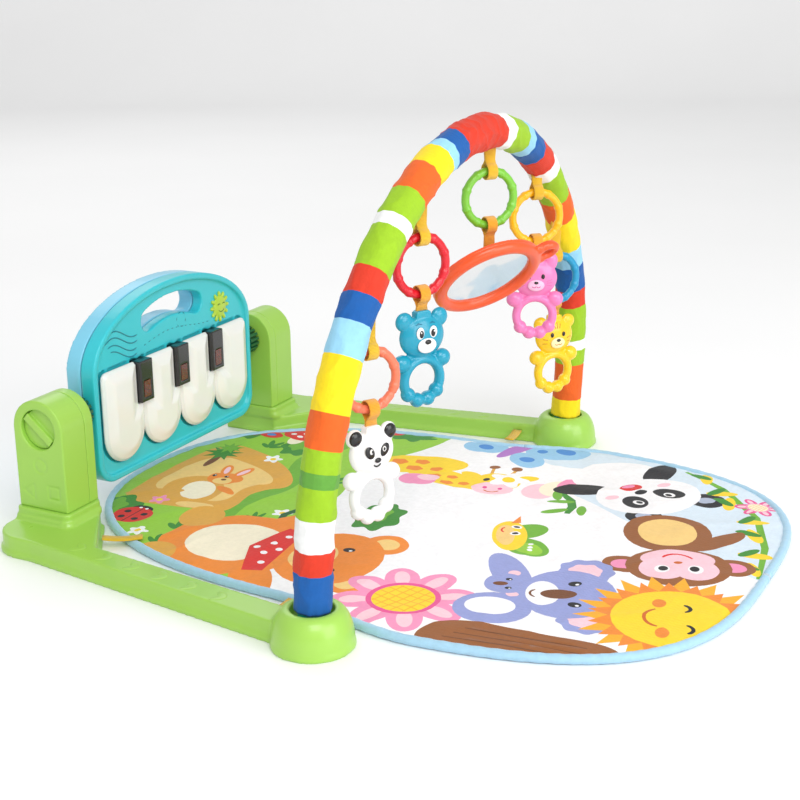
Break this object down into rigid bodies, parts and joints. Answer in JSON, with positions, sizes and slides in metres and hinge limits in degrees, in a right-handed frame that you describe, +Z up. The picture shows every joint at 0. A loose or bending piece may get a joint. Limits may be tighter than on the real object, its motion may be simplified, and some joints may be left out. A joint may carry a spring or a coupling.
{
  "type": "baby activity play gym",
  "caption": "Baby play gym: padded mat between two floor bases, a striped soft arch with hanging toys, and a tilting kick piano.",
  "frame": {"origin": "middle of the whole footprint at floor level", "axes": "+X across the arch towards the right base, +Y from the open end of the mat towards the piano, +Z up"},
  "size_m": [0.636, 0.683, 0.401],
  "materials": {
    "lime_plastic": "satin moulded",
    "dark_green_plastic": "satin moulded",
    "turquoise_plastic": "satin moulded",
    "sky_plastic": "satin moulded",
    "ivory_plastic": "gloss",
    "black_plastic": "gloss",
    "red_lens": "clear tinted",
    "steel": "zinc plated",
    "board_green": "solder mask",
    "dark_parts": "satin",
    "rubber_grey": "matte",
    "led_white": "clear",
    "sleeve_fabric": "striped woven polyester",
    "mat_fabric": "printed brushed polyester",
    "binding_fabric": "bias tape",
    "webbing": "woven ribbon",
    "coral_plastic": "gloss",
    "red_plastic": "gloss",
    "green_plastic": "gloss",
    "yellow_plastic": "gloss",
    "blue_plastic": "gloss",
    "white_plastic": "gloss",
    "pink_plastic": "gloss",
    "mirror_film": "polished"
  },
  "bodies": {
    "frame": {"left_base_shell": "lime_plastic", "right_base_shell": "lime_plastic", "base_plates": "lime_plastic", "frame_screws": "steel", "rubber_feet": "rubber_grey", "left_tower_outer": "lime_plastic", "left_tower_inner": "lime_plastic", "right_tower_outer": "lime_plastic", "right_tower_inner": "lime_plastic", "detent_springs": "steel", "arch_side_tubes": "turquoise_plastic", "arch_crown_tube": "turquoise_plastic", "arch_plugs": "turquoise_plastic", "arch_sleeve": "sleeve_fabric", "sleeve_tabs": "webbing", "mat_pad": "mat_fabric", "mat_binding": "binding_fabric", "mat_loops": "webbing"},
    "left_dial": {"left_tilt_dial": "lime_plastic"},
    "right_dial": {"right_tilt_dial": "lime_plastic"},
    "piano": {"piano_front_shell": "turquoise_plastic", "piano_rear_shell": "sky_plastic", "pivot_hubs": "dark_green_plastic", "detent_wheels": "dark_green_plastic", "piano_screws": "steel", "circuit_board": "board_green", "key_lights": "led_white", "speaker": "dark_parts", "battery_door": "sky_plastic", "batteries": "dark_parts", "sun_badge": "lime_plastic", "black_keys": "black_plastic", "light_windows": "red_lens", "key_dome_strip": "rubber_grey"},
    "key_1": {"white_key_1": "ivory_plastic"},
    "key_2": {"white_key_2": "ivory_plastic"},
    "key_3": {"white_key_3": "ivory_plastic"},
    "key_4": {"white_key_4": "ivory_plastic"},
    "mode_slider": {"mode_switch": "yellow_plastic"},
    "ring_1_body": {"ring_1": "coral_plastic"},
    "panda_toy": {"strap_1": "webbing", "panda_front": "white_plastic", "panda_back": "white_plastic"},
    "ring_2_body": {"ring_2": "red_plastic"},
    "bear_toy": {"strap_2": "webbing", "bear_front": "blue_plastic", "bear_back": "blue_plastic"},
    "ring_3_body": {"ring_3": "green_plastic"},
    "mirror_toy": {"strap_3": "webbing", "mirror_frame": "coral_plastic", "mirror_plate": "mirror_film", "mirror_back": "coral_plastic"},
    "ring_4_body": {"ring_4": "yellow_plastic"},
    "cat_toy": {"strap_4": "webbing", "cat_front": "pink_plastic", "cat_back": "pink_plastic"},
    "ring_5_body": {"ring_5": "blue_plastic"},
    "tiger_toy": {"strap_5": "webbing", "tiger_front": "yellow_plastic", "tiger_back": "yellow_plastic"}
  },
  "joints": [
    {"name": "piano_tilt", "type": "hinge", "parent": "frame", "child": "piano", "pos_m": [0, 0.307, 0.112], "axis": [1, 0, 0], "range_deg": [-75, 15]},
    {"name": "left_dial_turn", "type": "hinge", "parent": "frame", "child": "left_dial", "pos_m": [-0.206, 0.307, 0.112], "axis": [-1, 0, 0], "range_deg": [0, 90]},
    {"name": "right_dial_turn", "type": "hinge", "parent": "frame", "child": "right_dial", "pos_m": [0.206, 0.307, 0.112], "axis": [1, 0, 0], "range_deg": [0, 90]},
    {"name": "mode_slide", "type": "slide", "parent": "piano", "child": "mode_slider", "axis": [1, 0, 0], "range_m": [0, 0.008]},
    {"name": "key_1_press", "type": "hinge", "parent": "piano", "child": "key_1", "pos_m": [-0.096, 0.295, 0.1425], "axis": [1, 0, 0], "range_deg": [0, 2], "stiffness_Nm_per_rad": 1.2, "springref_deg": -5.73},
    {"name": "key_2_press", "type": "hinge", "parent": "piano", "child": "key_2", "pos_m": [-0.032, 0.295, 0.1425], "axis": [1, 0, 0], "range_deg": [0, 2], "stiffness_Nm_per_rad": 1.2, "springref_deg": -5.73},
    {"name": "key_3_press", "type": "hinge", "parent": "piano", "child": "key_3", "pos_m": [0.032, 0.295, 0.1425], "axis": [1, 0, 0], "range_deg": [0, 2], "stiffness_Nm_per_rad": 1.2, "springref_deg": -5.73},
    {"name": "key_4_press", "type": "hinge", "parent": "piano", "child": "key_4", "pos_m": [0.096, 0.295, 0.1425], "axis": [1, 0, 0], "range_deg": [0, 2], "stiffness_Nm_per_rad": 1.2, "springref_deg": -5.73},
    {"name": "ring_1_swing", "type": "hinge", "parent": "frame", "child": "ring_1_body", "pos_m": [-0.203, -0.05018, 0.2325], "axis": [0.5, 0.866, 0], "range_deg": [-18, 8]},
    {"name": "panda_swing", "type": "hinge", "parent": "ring_1_body", "child": "panda_toy", "pos_m": [-0.203, -0.05018, 0.1825], "axis": [0.5, 0.866, 0], "range_deg": [-18, 18]},
    {"name": "ring_2_swing", "type": "hinge", "parent": "frame", "child": "ring_2_body", "pos_m": [-0.115, -0.05373, 0.31106], "axis": [0.5, 0.866, 0], "range_deg": [-18, 18]},
    {"name": "bear_swing", "type": "hinge", "parent": "ring_2_body", "child": "bear_toy", "pos_m": [-0.115, -0.05373, 0.26106], "axis": [0.5, 0.866, 0], "range_deg": [-18, 18]},
    {"name": "ring_3_swing", "type": "hinge", "parent": "frame", "child": "ring_3_body", "pos_m": [0.024, -0.05505, 0.34685], "axis": [0.6157, 0.788, 0], "range_deg": [-18, 18]},
    {"name": "mirror_swing", "type": "hinge", "parent": "ring_3_body", "child": "mirror_toy", "pos_m": [0.024, -0.05505, 0.29685], "axis": [0.6157, 0.788, 0], "range_deg": [-18, 18]},
    {"name": "ring_4_swing", "type": "hinge", "parent": "frame", "child": "ring_4_body", "pos_m": [0.144, -0.05288, 0.30853], "axis": [0.7193, 0.6947, 0], "range_deg": [-15, 18]},
    {"name": "cat_swing", "type": "hinge", "parent": "ring_4_body", "child": "cat_toy", "pos_m": [0.144, -0.05288, 0.25853], "axis": [0.7193, 0.6947, 0], "range_deg": [-18, 18]},
    {"name": "ring_5_swing", "type": "hinge", "parent": "frame", "child": "ring_5_body", "pos_m": [0.206, -0.05, 0.23259], "axis": [0.6428, 0.766, 0], "range_deg": [-18, 18]},
    {"name": "tiger_swing", "type": "hinge", "parent": "ring_5_body", "child": "tiger_toy", "pos_m": [0.206, -0.05, 0.18259], "axis": [0.6428, 0.766, 0], "range_deg": [-18, 18]}
  ]
}
